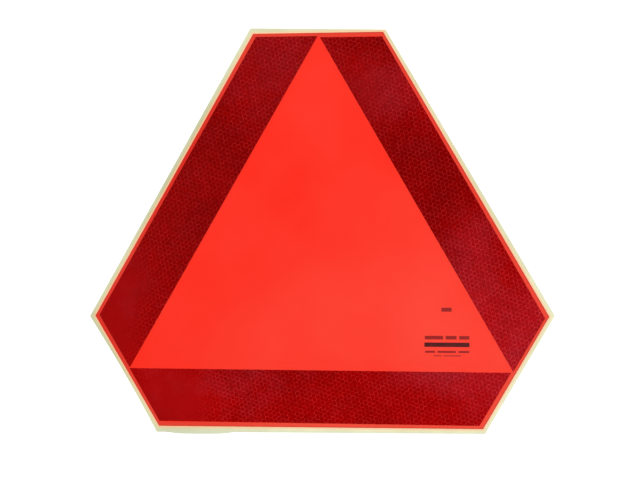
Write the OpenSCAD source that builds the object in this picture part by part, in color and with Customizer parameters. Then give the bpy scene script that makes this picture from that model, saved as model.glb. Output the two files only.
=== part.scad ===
// Slow moving vehicle sign of self-adhesive sheeting, on its backing paper.
// It lies flat and face up: +Z comes out of its face, and +Y points to the top of the sign.
// The origin is on the underside of the paper, below the middle of the bright triangle.
// All sizes are in millimetres, and all turns are anticlockwise and in degrees.

/* [Bright triangle] */
// Side of the bright triangle that stays clear between the three strips
triangle_side = 350; // [260:1:480]

/* [Reflective strips] */
// Width of a strip, from the bright triangle out to its long edge
strip_width = 48.2; // [25:0.1:80]
// How far inside the triangle's points the ends of the strips are cut
strip_end_inset = 1.5; // [0.5:0.1:12]
// Thickness of a strip
strip_thickness = 0.4; // [0.2:0.05:1.5]

/* [Hand laying of the strips] */
// How far the left strip has slipped anticlockwise along its side
left_strip_slip = -0.1; // [-1.5:0.1:1.5]
// How far the left strip has strayed outwards
left_strip_stray = -0.5; // [-0.8:0.1:0.8]
// Turn of the left strip out of its true direction
left_strip_turn = 0.05; // [-0.3:0.05:0.3]
// How far the right strip has slipped anticlockwise along its side
right_strip_slip = -1.5; // [-1.5:0.1:1.5]
// How far the right strip has strayed outwards
right_strip_stray = 0.1; // [-0.8:0.1:0.8]
// Turn of the right strip out of its true direction
right_strip_turn = -0.05; // [-0.3:0.05:0.3]
// How far the bottom strip has slipped anticlockwise along its side
bottom_strip_slip = -0.5; // [-1.5:0.1:1.5]
// How far the bottom strip has strayed outwards
bottom_strip_stray = 0.1; // [-0.8:0.1:0.8]
// Turn of the bottom strip out of its true direction
bottom_strip_turn = -0.2; // [-0.3:0.05:0.3]

/* [Fluorescent sheet] */
// Width of the bright border that is left outside the strips
border_width = 3.4; // [1:0.1:15]
// Thickness of the sheet with its adhesive
sheet_thickness = 0.25; // [0.1:0.05:1.5]
// How far the sheet's cut outline lies to the right of the strips
sheet_shift_right = 0.4; // [-1:0.1:1]
// How far the sheet's cut outline lies below the strips
sheet_shift_down = 0.5; // [-1:0.1:1]
// Turn of the sheet's cut outline against the strips
sheet_turn = 0.15; // [-0.3:0.05:0.3]

/* [Backing paper] */
// Thickness of the paper
paper_thickness = 0.2; // [0.1:0.05:1]
// Radius that the paper's corners are rounded to
paper_corner_radius = 1.6; // [0.2:0.1:6]
// How far the cut at the lower left bows inwards half way
lower_left_cut_bow = 1.3; // [0:0.1:3]
// How far the cut along the bottom swells outwards
bottom_swell_height = 1.6; // [0:0.1:4]
// Length of the swell
bottom_swell_length = 60; // [20:1:70]
// Middle of the swell, from the left end of the bottom
bottom_swell_place = 40; // [40:1:140]

/* [Paper margins outside the sheet] */
// Bottom margin at its left end
bottom_margin_left = 5.6; // [1:0.1:12]
// Bottom margin at its right end
bottom_margin_right = 4.5; // [1:0.1:12]
// Lower right margin at its bottom end
lower_right_margin_bottom = 3.8; // [1:0.1:12]
// Lower right margin at its top end
lower_right_margin_top = 3.9; // [1:0.1:12]
// Right margin at its bottom end
right_margin_bottom = 4.8; // [1:0.1:12]
// Right margin at its top end
right_margin_top = 3.1; // [1:0.1:12]
// Top margin at its right end
top_margin_right = 2.2; // [1:0.1:12]
// Top margin at its left end
top_margin_left = 5.0; // [1:0.1:12]
// Left margin at its top end
left_margin_top = 4.8; // [1:0.1:12]
// Left margin at its bottom end
left_margin_bottom = 4.3; // [1:0.1:12]
// Lower left margin at its top end
lower_left_margin_top = 4.8; // [3.1:0.1:12]
// Lower left margin at its bottom end
lower_left_margin_bottom = 4.8; // [3.1:0.1:12]

/* [Hidden] */

// The three long sides and the three points of the sign repeat every third of a turn
third_turn = 120;
// From the middle of the bright triangle to its sides, and to its points
triangle_inradius = triangle_side / (2 * sqrt(3));
triangle_circumradius = triangle_side / sqrt(3);
// From the middle to a strip's long outer edge, and to the line that cuts the strips' ends
strip_long_distance = triangle_inradius + strip_width;
strip_end_distance = triangle_circumradius - strip_end_inset;
// The sheet's long and short sides lie outside the strips by the bright border
sheet_long_distance = strip_long_distance + border_width;
sheet_short_distance = strip_end_distance + border_width;
// Each layer lies on the one below it
sheet_level = paper_thickness;
strip_level = sheet_level + sheet_thickness;
// Steps along a curved cut, and round a corner of the paper
cut_steps = 20;
corner_steps = 6;

// A point turned about the origin
function turned(p, a) = [p.x * cos(a) - p.y * sin(a), p.x * sin(a) + p.y * cos(a)];

// The step of length one from a point towards another
function towards(a, b) = (b - a) / norm(b - a);

// How far from the middle line a long side and the short side beside it meet
function half_side(long_distance, short_distance) = (2 * short_distance - long_distance) / sqrt(3);

// A triangle with its points cut off, given from the middle to its long and to its short sides.
// Its corners run anticlockwise from the bottom left.
function cut_triangle(long_distance, short_distance) =
    let (h = half_side(long_distance, short_distance))
    [for (turn = [0 : third_turn : 2 * third_turn], x = [-h, h]) turned([x, -long_distance], turn)];

// Where the line through a and b meets the line through c and d
function meeting(a, b, c, d) =
    let (u = b - a, v = d - c, w = c - a)
    a + u * cross(w, v) / cross(u, v);

sheet_corners = cut_triangle(sheet_long_distance, sheet_short_distance);
sides = len(sheet_corners);
bottom_side = 0;
lower_left_side = sides - 1;

// Margins at the start and the end of each side, in the order of the sheet's corners
margins = [
    [bottom_margin_left, bottom_margin_right],
    [lower_right_margin_bottom, lower_right_margin_top],
    [right_margin_bottom, right_margin_top],
    [top_margin_right, top_margin_left],
    [left_margin_top, left_margin_bottom],
    [lower_left_margin_top, lower_left_margin_bottom]
];

function side_start(i) = sheet_corners[i % sides];
function side_end(i) = sheet_corners[(i + 1) % sides];
function outward(i) = turned(towards(side_start(i), side_end(i)), -90);

// The cut beside a side of the sheet runs through its two margins
function cut_start(i) = side_start(i) + outward(i) * margins[i % sides][0];
function cut_end(i) = side_end(i) + outward(i) * margins[i % sides][1];

// The paper's corner at the start of side i
function paper_corner(i) =
    meeting(cut_start(i + sides - 1), cut_end(i + sides - 1), cut_start(i), cut_end(i));

// Round corner at the start of side i, from the side before it to side i
function rounded_corner(i) =
    let (
        corner = paper_corner(i),
        to_last = towards(corner, paper_corner(i + sides - 1)),
        to_next = towards(corner, paper_corner(i + 1)),
        half_angle = acos(to_last * to_next) / 2,
        inward = (to_last + to_next) / norm(to_last + to_next),
        centre = corner + inward * paper_corner_radius / sin(half_angle),
        sweep = 180 - 2 * half_angle
    )
    [for (k = [0 : corner_steps])
        centre - turned(inward, (k / corner_steps - 0.5) * sweep) * paper_corner_radius];

// Points along a cut that bows inwards between two of the paper's corners
function bowed_cut(i, bow) =
    [for (k = [1 : cut_steps - 1])
        let (t = k / cut_steps)
        paper_corner(i) * (1 - t) + paper_corner(i + 1) * t - outward(i) * bow * 4 * t * (1 - t)];

// Points round a swell in a cut, flat across its middle and steep at its two ends
function swelled_cut(i, place, length, height) =
    [for (k = [0 : cut_steps])
        let (u = 2 * k / cut_steps - 1)
        paper_corner(i) + towards(paper_corner(i), paper_corner(i + 1)) * (place + u * length / 2)
            + outward(i) * height * (1 - pow(u, 4))];

// Points between the two round corners of a side: none where its cut is straight
function cut_points(i) =
    i == bottom_side ? swelled_cut(i, bottom_swell_place, bottom_swell_length, bottom_swell_height) :
    i == lower_left_side ? bowed_cut(i, lower_left_cut_bow) : [];

// Carries what is drawn round the middle of the sheet to where the sheet lies
module laid_sheet() {
    translate([sheet_shift_right, -sheet_shift_down, 0])
    rotate([0, 0, sheet_turn])
        children();
}

// Release paper under the whole sign, cut round by hand with an uneven margin
module backing_paper() {
    outline = [for (i = [0 : sides - 1]) each concat(rounded_corner(i), cut_points(i))];
    color("#dcdfbc")
    laid_sheet()
    linear_extrude(height = paper_thickness)
        polygon(outline);
}

// Orange-red fluorescent film, a triangle with its points cut off
module fluorescent_sheet() {
    color("#f8402f")
    laid_sheet()
    translate([0, 0, sheet_level])
    linear_extrude(height = sheet_thickness)
        polygon(sheet_corners);
}

// Dark red reflective strip along the side of the bright triangle that faces the given turn.
// It is laid by hand: slipped along its side, strayed outwards and turned a little.
module reflective_strip(facing, slip, stray, turn) {
    inner = half_side(triangle_inradius, strip_end_distance);
    outer = half_side(strip_long_distance, strip_end_distance);
    middle_distance = triangle_inradius + strip_width / 2;
    color("#97080d")
    rotate([0, 0, facing])
    translate([slip, -middle_distance - stray, strip_level])
    rotate([0, 0, turn])
    linear_extrude(height = strip_thickness)
        polygon([
            [-outer, -strip_width / 2],
            [outer, -strip_width / 2],
            [inner, strip_width / 2],
            [-inner, strip_width / 2]
        ]);
}

module left_reflective_strip() {
    reflective_strip(-third_turn, left_strip_slip, left_strip_stray, left_strip_turn);
}

module right_reflective_strip() {
    reflective_strip(third_turn, right_strip_slip, right_strip_stray, right_strip_turn);
}

module bottom_reflective_strip() {
    reflective_strip(0, bottom_strip_slip, bottom_strip_stray, bottom_strip_turn);
}

backing_paper();
fluorescent_sheet();
left_reflective_strip();
right_reflective_strip();
bottom_reflective_strip();
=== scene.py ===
import math
import random

import bmesh
import bpy
from bmesh.types import BMEdge, BMVert
from mathutils import Matrix, Quaternion, Vector


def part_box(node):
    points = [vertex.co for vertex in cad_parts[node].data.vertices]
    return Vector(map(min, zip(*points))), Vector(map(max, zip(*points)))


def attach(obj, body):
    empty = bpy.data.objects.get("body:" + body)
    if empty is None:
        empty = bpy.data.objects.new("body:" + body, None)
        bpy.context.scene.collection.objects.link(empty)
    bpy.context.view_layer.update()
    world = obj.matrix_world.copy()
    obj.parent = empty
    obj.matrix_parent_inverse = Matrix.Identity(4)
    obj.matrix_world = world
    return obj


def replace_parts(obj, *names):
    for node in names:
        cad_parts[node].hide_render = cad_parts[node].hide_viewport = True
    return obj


# Looks of a self-adhesive slow moving vehicle sign: glossy fluorescent sheet, three honeycomb
# reflective strips and the pale paper that carries them. Metres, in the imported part's own frame.
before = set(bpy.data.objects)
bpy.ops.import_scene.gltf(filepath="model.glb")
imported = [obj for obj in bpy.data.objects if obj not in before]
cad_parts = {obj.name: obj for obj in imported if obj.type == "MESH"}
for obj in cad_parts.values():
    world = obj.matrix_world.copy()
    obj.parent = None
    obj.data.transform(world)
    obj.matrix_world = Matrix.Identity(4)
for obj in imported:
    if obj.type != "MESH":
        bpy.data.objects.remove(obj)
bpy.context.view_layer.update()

MM = 0.001
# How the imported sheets' corners are told apart: by digits of a metre in place, and by height
PLACE_DIGITS = 6
SAME_HEIGHT = 0.01 * MM

# Honeycomb of the reflective strips: it lies the same way in all three
CELL_PITCH = 4.03 * MM
CELL_ROWS_ANGLE = math.radians(-20)
CELL_JITTER = 0.09 * MM
SEAL_LINE_WIDTH = 0.38 * MM
CELL_SHOULDER = 0.3 * MM
CELL_RISE = 0.025 * MM
CELL_TONE_SPREAD = 0.1
SAME_CORNER = CELL_PITCH / 20
HONEYCOMB_SEED = 7
# The cells are laid this many times further out than a strip reaches, and then cut to its outline
HONEYCOMB_OVERREACH = 1.2
# Places of the two finishes in a strip's list of materials
CELL, SEAL_LINE = 0, 1

# Soft zones of painted light on the strips' film, each with its middle and radius in millimetres
# and
# its strength: where painted light lightens its red, where a painted reflection makes it milky, and
# where a painted sheen hides the honeycomb like a smooth veil
PAINTED_LIGHT_LEVEL = 0.12
PAINTED_LIGHT_ZONES = [
    (-165, -104, 73, 0.36),
    (-102, -147, 110, 0.69),
    (24, -130, 110, 0.57),
    (122, -136, 86, 0.70),
    (172, -88, 70, 0.84),
    (197, -27, 63, 0.72),
    (143, 8, 58, 0.54),
    (110, 148, 55, 0.75),
    (40, 157, 63, 0.25),
    (-44, 192, 110, 0.28),
    (-180, -29, 110, 0.31),
    (139, -41, 36, 0.80),
]
# Painted reflection that makes the film look milky
PAINTED_REFLECTION_LEVEL = 0.0
PAINTED_REFLECTION_ZONES = [
    (-66, -94, 70, 0.44),
    (92, -92, 42, 0.95),
    (124, -100, 38, 0.70),
    (124, -21, 64, 0.90),
    (142, 27, 32, 0.55),
    (66, 152, 46, 0.72),
    (-35, 185, 99, 0.46),
    (208, -97, 106, 1.05),
]
# Painted sheen that smooths the honeycomb away like a veil
SHEEN_VEIL_LEVEL = 0.0
# How much the painted sheen hides for its strength, give or take the wisps of painted haze
SHEEN_VEIL_THICKNESS = 1.3
SHEEN_VEIL_ZONES = [
    (-182, -25, 50, 0.85),
    (-188, -76, 42, 0.90),
    (-135, -130, 58, 1.00),
    (-115, 45, 120, 0.18),
    (-45, 160, 60, 0.20),
    (42, 155, 48, 0.38),
]

# Bright border that the fluorescent sheet shows outside the strips, and the cut edge round it
FILM_BORDER = 3.4 * MM
BORDER_BLEND = 0.6 * MM
CUT_EDGE_START = 0.9 * MM
CUT_EDGE_END = 0.3 * MM
# Painted light on the sheet: where its red is warmer or deeper, written as the zones of the strips
# are
SHEET_PAINTED_LIGHT_LEVEL = 0.23
SHEET_PAINTED_LIGHT_ZONES = [
    (90, -50, 170, 0.43),
    (115, -65, 80, 0.28),
    (-40, -90, 110, 0.30),
    (0, 150, 60, 0.13),
    (-45, 60, 70, -0.10),
    (168, -100, 50, 0.30),
]

# Painted light and shade on the border and the paper round it, where they are brighter or duller,
# written in the same way
RIM_PAINTED_LIGHT_LEVEL = 0.5
RIM_PAINTED_LIGHT_ZONES = [
    (20, -160, 150, 0.40),
    (165, -150, 110, 0.35),
    (205, -40, 90, 0.25),
    (-130, 90, 150, -0.45),
    (-205, -70, 80, -0.30),
]

# From where to where, out from the sheet's edge, the painted glow of its light on the paper fades
# and the paper turns from its tone beside the sheet to its tone further out
PAINTED_GLOW_FADE = (0.6 * MM, 2.3 * MM)
PAPER_FADE = (2.0 * MM, 4.6 * MM)
# Between these heights the painted glow comes in, so that it stays off the paper's underside
PAINTED_GLOW_HEIGHTS = (0.05 * MM, 0.15 * MM)

# Roughness and specular level of each finish
SHEET_GLOSS = (0.14, 0.4)
CELL_GLOSS = (0.12, 0.3)
SEAL_LINE_GLOSS = (0.14, 0.3)
PAPER_GLOSS = (0.45, 0.3)
INK_GLOSS = (0.35, 0.4)
MATT = (1.0, 0.0)

# Plain printed dashes low in the bright triangle's right half: for each row its middle line and
# height, its colour, and where its dashes start and end, in millimetres
PRINT_THICKNESS = 0.02 * MM
PRINT_CORNER = 0.5 * MM
PRINT_ROWS = [
    (-45.4, 3.6, "print_brown", [(110.8, 119.9)]),
    (-70.6, 3.2, "print_brown", [(96.0, 112.4), (114.6, 124.4), (126.6, 135.7)]),
    (-77.0, 3.9, "print_black", [(95.6, 135.9)]),
    (-83.4, 1.8, "print_brown", [(96.3, 105.3), (107.3, 123.8), (126.1, 135.7)]),
    (-86.9, 1.3, "print_faint", [(103.9, 111.0), (112.9, 128.6)]),
]

# Camera of the photograph: a 50 mm lens about 0.8 m above the sign, a little off its middle. It is
# tilted round the line CAMERA_TILT, which is as long as the tilt has degrees.
CAMERA_PLACE = Vector((49.4, 36.5, 802.2)) * MM
CAMERA_TILT = Vector((-1.38, 3.41, -0.02))
CAMERA_LENS = 50
CAMERA_SENSOR_WIDTH = 36

# Pale room in metres: a round floor that sweeps up into a wall, and a wide ring a little under it
FLOOR_RADIUS = 4.0
WALL_HEIGHT = 3.0
WALL_SWEEP = 1.2
RING_INNER_RADIUS = 2.5
RING_OUTER_RADIUS = 60.0
RING_HEIGHT = -1 * MM
ROOM_GREY = 0.8
ROOM_GLOW = 0.4

# Round soft lamps that face the sign: place and width in metres, and power in watts
LAMPS = {
    "left_lamp": ((-1.62, 0.42, 2.37), 0.45, 36.5),
    "right_lamp": ((1.62, -0.42, 2.37), 0.45, 36.5),
    "back_lamp": ((0.23, 1.65, 2.37), 0.45, 21.5),
    "under_lamp": ((0.2, -0.6, -2.0), 1.6, 48),
}
SKY_STRENGTH = 0.01


def colour(red, green, blue):
    """Linear colour with full alpha, from the 0 to 255 values that a screen shows."""
    def linear(value):
        share = value / 255
        return share / 12.92 if share <= 0.04045 else ((share + 0.055) / 1.055) ** 2.4
    return (linear(red), linear(green), linear(blue), 1.0)


def new_material(name):
    """A material with a Principled shader, and the shader's node."""
    material = bpy.data.materials.new(name)
    material.use_nodes = True
    return material, material.node_tree.nodes["Principled BSDF"]


def add_node(tree, kind, settings=None, inputs=None):
    """A new node, with its settings made and its inputs set to values or linked to sockets."""
    made = tree.nodes.new(kind)
    for name, value in (settings or {}).items():
        setattr(made, name, value)
    for name, value in (inputs or {}).items():
        if isinstance(value, bpy.types.NodeSocket):
            tree.links.new(value, made.inputs[name])
        else:
            made.inputs[name].default_value = value
    return made


def object_place(tree):
    """Socket with the place on the object, in metres."""
    return add_node(tree, "ShaderNodeTexCoord").outputs["Object"]


def noise(tree, size, detail=2.0, roughness=0.5):
    """Socket with soft noise from 0 to 1, whose patches are about the given size."""
    return add_node(
        tree, "ShaderNodeTexNoise",
        inputs={"Vector": object_place(tree), "Scale": 1 / size, "Detail": detail,
                "Roughness": roughness},
    ).outputs["Fac"]


def remap(tree, socket, from_low, from_high, to_low=0.0, to_high=1.0):
    """Socket with a value carried from one range to another and held inside it."""
    return add_node(
        tree, "ShaderNodeMapRange", {"interpolation_type": "SMOOTHSTEP"},
        {"Value": socket, "From Min": from_low, "From Max": from_high,
         "To Min": to_low, "To Max": to_high},
    ).outputs["Result"]


def drift(tree, soft_noise, amount, spread=0.2):
    """Socket with a noise turned into a drift round 0, by at most an amount on either side."""
    return remap(tree, soft_noise, 0.5 - spread, 0.5 + spread, -amount, amount)


def math_of(tree, operation, first, second):
    """Socket with a sum, product or the like of two values."""
    return add_node(
        tree, "ShaderNodeMath", {"operation": operation}, {0: first, 1: second}
    ).outputs[0]


def vector_math_of(tree, operation, first, second):
    """Socket with the one number that two vectors give, such as the distance between them."""
    return add_node(
        tree, "ShaderNodeVectorMath", {"operation": operation}, {0: first, 1: second}
    ).outputs["Value"]


def mixed(tree, share, first, second):
    """Socket with a blend from the first colour to the second."""
    return add_node(
        tree, "ShaderNodeMix", {"data_type": "RGBA"}, {0: share, 6: first, 7: second}
    ).outputs[2]


def bumped(tree, height, distance, under=None):
    """Socket with a normal bumped by a height, over another bump if one is given."""
    inputs = {"Height": height, "Distance": distance}
    if under is not None:
        inputs["Normal"] = under
    return add_node(tree, "ShaderNodeBump", inputs=inputs).outputs["Normal"]


def zones(tree, level, patches):
    """Socket with a level that soft round patches raise or lower."""
    place = object_place(tree)
    total = level
    for x, y, radius, strength in patches:
        away = vector_math_of(tree, "DISTANCE", place, (x * MM, y * MM, 0))
        total = math_of(tree, "ADD", total, remap(tree, away, 0, radius * MM, strength, 0))
    return total


def set_gloss(shader, roughness, specular):
    """How shiny a surface is, all over it."""
    shader.inputs["Roughness"].default_value = roughness
    shader.inputs["Specular IOR Level"].default_value = specular


def hang_of_film(tree, shader):
    """The slight waviness of sheeting that lies loose, and the fine orange peel of its skin."""
    wave = bumped(tree, noise(tree, 90 * MM, detail=1.0), distance=0.7 * MM)
    peel = bumped(tree, noise(tree, 1.6 * MM), distance=0.006 * MM, under=wave)
    tree.links.new(peel, shader.inputs["Normal"])


def outline_of(name):
    """Corners of a packed sheet's upper face, anticlockwise."""
    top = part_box(name)[1].z
    found = {}
    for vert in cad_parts[name].data.vertices:
        if vert.co.z > top - SAME_HEIGHT:
            place = round(vert.co.x, PLACE_DIGITS), round(vert.co.y, PLACE_DIGITS)
            found[place] = vert.co.copy()
    middle = sum(found.values(), Vector()) / len(found)
    return sorted(found.values(), key=lambda co: math.atan2(co.y - middle.y, co.x - middle.x))


def sides_of(corners):
    """For each side of an anticlockwise outline, a point on it and the way outwards."""
    sides = []
    for start, end in zip(corners, corners[1:] + corners[:1]):
        run = (end - start).normalized()
        sides.append((start, Vector((run.y, -run.x, 0))))
    return sides


def distance_outside_sheet(tree):
    """Socket with the distance outside the nearest edge of the fluorescent sheet, in metres."""
    place = object_place(tree)
    nearest = None
    for start, outward in sides_of(outline_of("fluorescent_sheet")):
        along = vector_math_of(tree, "DOT_PRODUCT", place, outward)
        beyond = math_of(tree, "SUBTRACT", along, start.dot(outward))
        nearest = beyond if nearest is None else math_of(tree, "MAXIMUM", nearest, beyond)
    return nearest


def fluorescent_material():
    """Glossy orange-red fluorescent film, a little darker in its border and at its cut edge;
    painted light in zones.
    """
    material, shader = new_material("fluorescent_film")
    tree = material.node_tree
    # Painted light and sheen: soft zones and a cloud of noise lighten or deepen the sheet's red.
    painted_sheen_cloud = drift(tree, noise(tree, 70 * MM), 0.1)
    sheet_painted_light = math_of(tree, "ADD", zones(tree, SHEET_PAINTED_LIGHT_LEVEL, SHEET_PAINTED_LIGHT_ZONES), painted_sheen_cloud)
    # Painted light and shade on the border.
    rim_painted_light = zones(tree, RIM_PAINTED_LIGHT_LEVEL, RIM_PAINTED_LIGHT_ZONES)
    middle_red = mixed(tree, sheet_painted_light, colour(254, 44, 29), colour(255, 74, 59))
    border_red = mixed(tree, rim_painted_light, colour(219, 41, 31), colour(246, 84, 65))
    outside = distance_outside_sheet(tree)
    border = remap(tree, outside, -FILM_BORDER - BORDER_BLEND, -FILM_BORDER)
    cut_edge = remap(tree, outside, -CUT_EDGE_START, -CUT_EDGE_END)
    edge_red = colour(198, 62, 44)
    tone = mixed(tree, cut_edge, mixed(tree, border, middle_red, border_red), edge_red)
    tree.links.new(tone, shader.inputs["Base Color"])
    set_gloss(shader, *SHEET_GLOSS)
    hang_of_film(tree, shader)
    return material


def strip_tone(tree, clear, reflection_hazed, shift=0.0):
    """Socket with a red of the reflective film, between a painted shade end and a painted light
    end: one pair where the film is clear, one where a painted reflection makes it milky. A painted
    sheen, like a veil, makes the cells and the lines alike."""
    # Painted light and sheen: soft zones and a cloud of noise lighten or darken the red.
    painted_sheen_cloud = drift(tree, noise(tree, 40 * MM, detail=3.0), 0.12)
    painted_light = math_of(tree, "ADD", zones(tree, PAINTED_LIGHT_LEVEL, PAINTED_LIGHT_ZONES), painted_sheen_cloud)
    own_painted_light = math_of(tree, "ADD", painted_light, shift)
    # Painted reflection that makes the film milky, in zones and wisps.
    painted_haze_wisp = drift(tree, noise(tree, 18 * MM, detail=3.0, roughness=0.6), 0.18)
    painted_reflection = math_of(tree, "ADD", zones(tree, PAINTED_REFLECTION_LEVEL, PAINTED_REFLECTION_ZONES), painted_haze_wisp)
    tone = mixed(
        tree, painted_reflection, mixed(tree, own_painted_light, *clear), mixed(tree, own_painted_light, *reflection_hazed)
    )
    # Painted sheen that hides the honeycomb like a veil.
    sheen_veiled_clear = mixed(tree, painted_light, colour(133, 7, 8), colour(175, 10, 11))
    sheen_veiled_hazed = mixed(tree, painted_light, colour(135, 20, 23), colour(181, 32, 40))
    sheen_veiled = mixed(tree, painted_reflection, sheen_veiled_clear, sheen_veiled_hazed)
    thickness = math_of(tree, "ADD", painted_haze_wisp, SHEEN_VEIL_THICKNESS)
    painted_sheen_veil = math_of(tree, "MULTIPLY", zones(tree, SHEEN_VEIL_LEVEL, SHEEN_VEIL_ZONES), thickness)
    return mixed(tree, painted_sheen_veil, tone, sheen_veiled)


def cell_tone(tree):
    """Socket with the deep red inside of the honeycomb cells, under painted light and reflection.
    """
    own = add_node(tree, "ShaderNodeAttribute", {"attribute_name": "cell_tone"}).outputs["Fac"]
    grain = drift(tree, noise(tree, 0.6 * MM), 0.08)
    # From painted shade to painted light: first where the film is clear, then under a painted
    # reflection.
    clear = colour(121, 0, 0), colour(165, 1, 1)
    reflection_hazed = colour(123, 13, 16), colour(172, 23, 31)
    return strip_tone(tree, clear, reflection_hazed, shift=math_of(tree, "ADD", own, grain))


def cell_material():
    """Inside of the honeycomb cells, under a clear skin."""
    material, shader = new_material("reflective_cell")
    tree = material.node_tree
    tree.links.new(cell_tone(tree), shader.inputs["Base Color"])
    set_gloss(shader, *CELL_GLOSS)
    hang_of_film(tree, shader)
    return material


def seal_line_material():
    """Lighter red lines where the skin is sealed down round each cell, fainter in places."""
    material, shader = new_material("reflective_seal_line")
    tree = material.node_tree
    # From painted shade to painted light: first where the film is clear, then under a painted
    # reflection.
    clear = colour(174, 29, 30), colour(214, 33, 35)
    reflection_hazed = colour(171, 42, 46), colour(209, 58, 68)
    line = strip_tone(tree, clear, reflection_hazed)
    faint = remap(tree, noise(tree, 2.6 * MM, detail=1.0), 0.35, 0.7, to_high=0.85)
    tree.links.new(mixed(tree, faint, line, cell_tone(tree)), shader.inputs["Base Color"])
    set_gloss(shader, *SEAL_LINE_GLOSS)
    hang_of_film(tree, shader)
    return material


def paper_material():
    """Pale green release paper with a waxy face, warmer in a painted glow where the fluorescent
    sheet lights it.
    """
    material, shader = new_material("release_paper")
    tree = material.node_tree
    mottle = drift(tree, noise(tree, 30 * MM, detail=3.0), 0.08, spread=0.15)
    # The mottle is the paper's own; the rim zones add painted light and shade.
    mottle_and_painted_light = math_of(tree, "ADD", zones(tree, RIM_PAINTED_LIGHT_LEVEL, RIM_PAINTED_LIGHT_ZONES), mottle)
    near = mixed(tree, mottle_and_painted_light, colour(190, 187, 142), colour(247, 239, 194))
    far = mixed(tree, mottle_and_painted_light, colour(196, 198, 163), colour(233, 235, 203))
    # Painted glow of the sheet's orange light on the paper beside it.
    painted_glow = mixed(tree, mottle_and_painted_light, colour(242, 191, 144), colour(255, 208, 170))
    outside = distance_outside_sheet(tree)
    pale = mixed(tree, remap(tree, outside, *PAPER_FADE), near, far)
    place = add_node(tree, "ShaderNodeSeparateXYZ", inputs={"Vector": object_place(tree)})
    upper_face = remap(tree, place.outputs["Z"], *PAINTED_GLOW_HEIGHTS)
    close_by = remap(tree, outside, *PAINTED_GLOW_FADE, to_low=1.0, to_high=0.0)
    glow = math_of(tree, "MULTIPLY", close_by, upper_face)
    tree.links.new(mixed(tree, glow, pale, painted_glow), shader.inputs["Base Color"])
    set_gloss(shader, *PAPER_GLOSS)
    fibre = noise(tree, 0.7 * MM, detail=4.0, roughness=0.7)
    tree.links.new(bumped(tree, fibre, distance=0.012 * MM), shader.inputs["Normal"])
    return material


def ink_material(name, ink):
    """Printing ink, thin enough that the sheet's red warms it here and there."""
    material, shader = new_material(name)
    tree = material.node_tree
    grain = noise(tree, 1.2 * MM, detail=3.0, roughness=0.6)
    worn = remap(tree, grain, 0.45, 0.85, to_high=0.35)
    red_under_ink = colour(200, 44, 34)
    tree.links.new(mixed(tree, worn, ink, red_under_ink), shader.inputs["Base Color"])
    set_gloss(shader, *INK_GLOSS)
    return material


def only(kind, parts):
    """Those of the parts that an operator gives back that are of one kind."""
    return [part for part in parts if isinstance(part, kind)]


def open_edges(parts):
    """The edges among the parts that don't have a face on both sides."""
    return [edge for edge in only(BMEdge, parts) if edge.is_boundary]


def new_object(name, shape, materials):
    """An object at the origin, with a finished mesh and its materials."""
    mesh = bpy.data.meshes.new(name)
    shape.to_mesh(mesh)
    shape.free()
    for material in materials:
        mesh.materials.append(material)
    made = bpy.data.objects.new(name, mesh)
    bpy.context.scene.collection.objects.link(made)
    return made


def new_piece(name, shape, materials):
    """A piece of the sign, which rides on its one body."""
    piece = new_object(name, shape, materials)
    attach(piece, "root")
    return piece


def honeycomb_strip(name, node, materials):
    """A reflective strip with real cells, on the outline of its packed sheet."""
    low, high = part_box(node)
    corners = outline_of(node)
    cells = bmesh.new()
    lay_cells(cells, corners, high.z - CELL_RISE)
    tone = cells.faces.layers.float.new("cell_tone")
    draw = random.Random(HONEYCOMB_SEED)
    for face in cells.faces:
        face[tone] = CELL_TONE_SPREAD * draw.uniform(-1, 1)
    for vert in cells.verts:
        vert.co.x += draw.uniform(-1, 1) * CELL_JITTER
        vert.co.y += draw.uniform(-1, 1) * CELL_JITTER
    seal = bmesh.ops.inset_individual(
        cells, faces=cells.faces[:], thickness=SEAL_LINE_WIDTH / 2, use_even_offset=True
    )["faces"]
    for face in seal:
        face.material_index = SEAL_LINE
    bmesh.ops.inset_individual(
        cells, faces=[face for face in cells.faces if face.material_index == CELL],
        thickness=CELL_SHOULDER, depth=CELL_RISE, use_even_offset=True,
    )
    for point, outward in sides_of(corners):
        bmesh.ops.bisect_plane(
            cells, geom=cells.verts[:] + cells.edges[:] + cells.faces[:],
            plane_co=point, plane_no=outward, clear_outer=True,
        )
    close_underneath(cells, low.z)
    bmesh.ops.recalc_face_normals(cells, faces=cells.faces)
    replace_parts(new_piece(name, cells, materials), node)


def lay_cells(cells, corners, level):
    """Six-sided cells in close rows over a strip's outline and a little past it."""
    radius = CELL_PITCH / math.sqrt(3)
    along = Vector((math.cos(CELL_ROWS_ANGLE), math.sin(CELL_ROWS_ANGLE), 0)) * CELL_PITCH
    across = Matrix.Rotation(math.radians(60), 3, "Z") @ along
    cell_turn = Matrix.Rotation(CELL_ROWS_ANGLE, 4, "Z")
    middle = sum(corners, Vector()) / len(corners)
    furthest = max((corner - middle).length for corner in corners)
    reach = math.ceil(furthest * HONEYCOMB_OVERREACH / CELL_PITCH)
    sides = sides_of(corners)
    for row in range(-reach, reach + 1):
        for place in range(-reach, reach + 1):
            centre = middle + along * place + across * row
            if max((centre - point).dot(outward) for point, outward in sides) > CELL_PITCH:
                continue
            centre.z = level
            bmesh.ops.create_circle(
                cells, cap_ends=True, segments=6, radius=radius,
                matrix=Matrix.Translation(centre) @ cell_turn,
            )
    bmesh.ops.remove_doubles(cells, verts=cells.verts, dist=SAME_CORNER)


def close_underneath(cells, bottom):
    """Walls down from the cut edges, and one flat underside."""
    walls = bmesh.ops.extrude_edge_only(cells, edges=open_edges(cells.edges))["geom"]
    for vert in only(BMVert, walls):
        vert.co.z = bottom
    bmesh.ops.edgeloop_fill(cells, edges=open_edges(walls))


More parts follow.
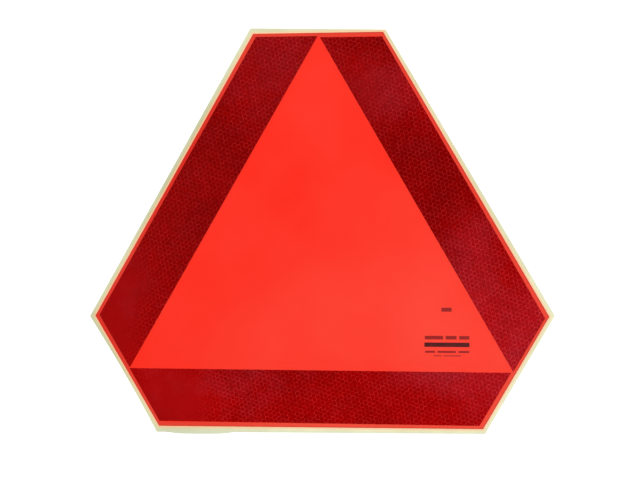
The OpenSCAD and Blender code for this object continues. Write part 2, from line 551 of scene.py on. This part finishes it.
def printed_rows():
    """Rows of plain round-cornered dashes, each a thin film of ink on the fluorescent sheet."""
    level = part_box("fluorescent_sheet")[1].z
    inks = {
        "print_black": ink_material("print_black", colour(66, 8, 12)),
        "print_brown": ink_material("print_brown", colour(150, 24, 20)),
        "print_faint": ink_material("print_faint", colour(196, 42, 34)),
    }
    for number, (y, height, ink, dashes) in enumerate(PRINT_ROWS, 1):
        row = bmesh.new()
        for start, end in dashes:
            size = Matrix.Diagonal(((end - start) * MM, height * MM, 1, 1))
            middle = Matrix.Translation(((start + end) / 2 * MM, y * MM, level))
            dash = bmesh.ops.create_grid(
                row, x_segments=1, y_segments=1, size=0.5, matrix=middle @ size
            )["verts"]
            bmesh.ops.bevel(
                row, geom=dash, offset=min(PRINT_CORNER, height * MM / 3), segments=3,
                profile=0.5, affect="VERTICES", material=-1,
            )
        film = bmesh.ops.extrude_face_region(row, geom=row.faces[:])["geom"]
        bmesh.ops.translate(row, verts=only(BMVert, film), vec=(0, 0, PRINT_THICKNESS))
        bmesh.ops.recalc_face_normals(row, faces=row.faces)
        new_piece(f"printed_row_{number}", row, [inks[ink]])


def put_material(name, material):
    """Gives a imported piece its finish."""
    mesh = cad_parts[name].data
    mesh.materials.clear()
    mesh.materials.append(material)


def pale_material():
    """White floor and wall: light enough to read as white, with the sign's shadow left on it."""
    material, shader = new_material("pale_studio")
    tree = material.node_tree
    shader.inputs["Base Color"].default_value = (ROOM_GREY, ROOM_GREY, ROOM_GREY, 1)
    set_gloss(shader, *MATT)
    rays = add_node(tree, "ShaderNodeLightPath")
    seen = math_of(tree, "MAXIMUM", rays.outputs["Is Camera Ray"], rays.outputs["Is Glossy Ray"])
    seen = math_of(tree, "MAXIMUM", seen, rays.outputs["Is Transmission Ray"])
    glow = math_of(tree, "MULTIPLY", seen, ROOM_GLOW)
    shader.inputs["Emission Color"].default_value = (1, 1, 1, 1)
    tree.links.new(glow, shader.inputs["Emission Strength"])
    return material


def studio_floor(finish):
    """A pale floor that sweeps up into a wall, open under the sign so that its back is lit."""
    shortest_side, longest_side = 4 * MM, 30 * MM
    bowl = bmesh.new()
    bowl.faces.new([bowl.verts.new(co.xy.to_3d()) for co in outline_of("backing_paper")])
    bmesh.ops.remove_doubles(bowl, verts=bowl.verts, dist=shortest_side)
    long_edges = [edge for edge in bowl.edges if edge.calc_length() > longest_side]
    bmesh.ops.subdivide_edges(bowl, edges=long_edges, cuts=12)
    opening = bowl.faces[:]
    floor = bmesh.ops.extrude_edge_only(bowl, edges=bowl.edges[:])["geom"]
    for vert in only(BMVert, floor):
        vert.co = vert.co.normalized() * FLOOR_RADIUS
    bmesh.ops.delete(bowl, geom=opening, context="FACES_ONLY")
    floor_edge = open_edges(floor)
    wall = bmesh.ops.extrude_edge_only(bowl, edges=floor_edge)["geom"]
    bmesh.ops.translate(bowl, verts=only(BMVert, wall), vec=(0, 0, WALL_HEIGHT))
    bmesh.ops.bevel(
        bowl, geom=floor_edge, offset=WALL_SWEEP, segments=12, profile=0.5,
        affect="EDGES", material=-1,
    )
    for face in bowl.faces:
        face.smooth = True
    bmesh.ops.recalc_face_normals(bowl, faces=bowl.faces)
    bmesh.ops.reverse_faces(bowl, faces=bowl.faces)
    new_object("studio_floor", bowl, [finish])


def outer_floor(finish):
    """A wide flat ring a little under the floor, so that a look from below meets no dark edge."""
    growth = RING_OUTER_RADIUS / RING_INNER_RADIUS
    ring = bmesh.new()
    bmesh.ops.create_circle(ring, segments=96, radius=RING_INNER_RADIUS)
    grown = bmesh.ops.extrude_edge_only(ring, edges=ring.edges[:])["geom"]
    bmesh.ops.scale(ring, verts=only(BMVert, grown), vec=(growth, growth, 1))
    bmesh.ops.translate(ring, verts=ring.verts, vec=(0, 0, RING_HEIGHT))
    new_object("outer_floor", ring, [finish])


def soft_lamp(name, place, width, power):
    """A round soft lamp that faces the sign."""
    light = bpy.data.lights.new(name, "AREA")
    light.shape = "DISK"
    light.size = width
    light.energy = power
    lamp = bpy.data.objects.new(name, light)
    lamp.location = place
    lamp.rotation_mode = "QUATERNION"
    lamp.rotation_quaternion = Vector(place).to_track_quat("Z", "Y")
    bpy.context.scene.collection.objects.link(lamp)


def studio_light():
    """Soft lamps round the sign and a dim sky, so that a colour shows about as it is written."""
    for name, (place, width, power) in LAMPS.items():
        soft_lamp(name, place, width, power)
    world = bpy.data.worlds.new("dim_sky")
    world.use_nodes = True
    sky = world.node_tree.nodes["Background"]
    sky.inputs["Color"].default_value = (1, 1, 1, 1)
    sky.inputs["Strength"].default_value = SKY_STRENGTH
    bpy.context.scene.world = world


def photo_camera():
    """A camera at the photograph's place and angle."""
    data = bpy.data.cameras.new("photo_camera")
    data.lens = CAMERA_LENS
    data.sensor_width = CAMERA_SENSOR_WIDTH
    camera = bpy.data.objects.new("photo_camera", data)
    camera.location = CAMERA_PLACE
    camera.rotation_mode = "QUATERNION"
    camera.rotation_quaternion = Quaternion(
        CAMERA_TILT.normalized(), math.radians(CAMERA_TILT.length)
    )
    bpy.context.scene.collection.objects.link(camera)
    bpy.context.scene.camera = camera


photo_camera()
room_finish = pale_material()
studio_floor(room_finish)
outer_floor(room_finish)
studio_light()
bpy.context.scene.view_settings.view_transform = "Standard"

put_material("backing_paper", paper_material())
put_material("fluorescent_sheet", fluorescent_material())
strip_materials = [cell_material(), seal_line_material()]
honeycomb_strip("left_honeycomb_strip", "left_reflective_strip", strip_materials)
honeycomb_strip("right_honeycomb_strip", "right_reflective_strip", strip_materials)
honeycomb_strip("bottom_honeycomb_strip", "bottom_reflective_strip", strip_materials)
printed_rows()
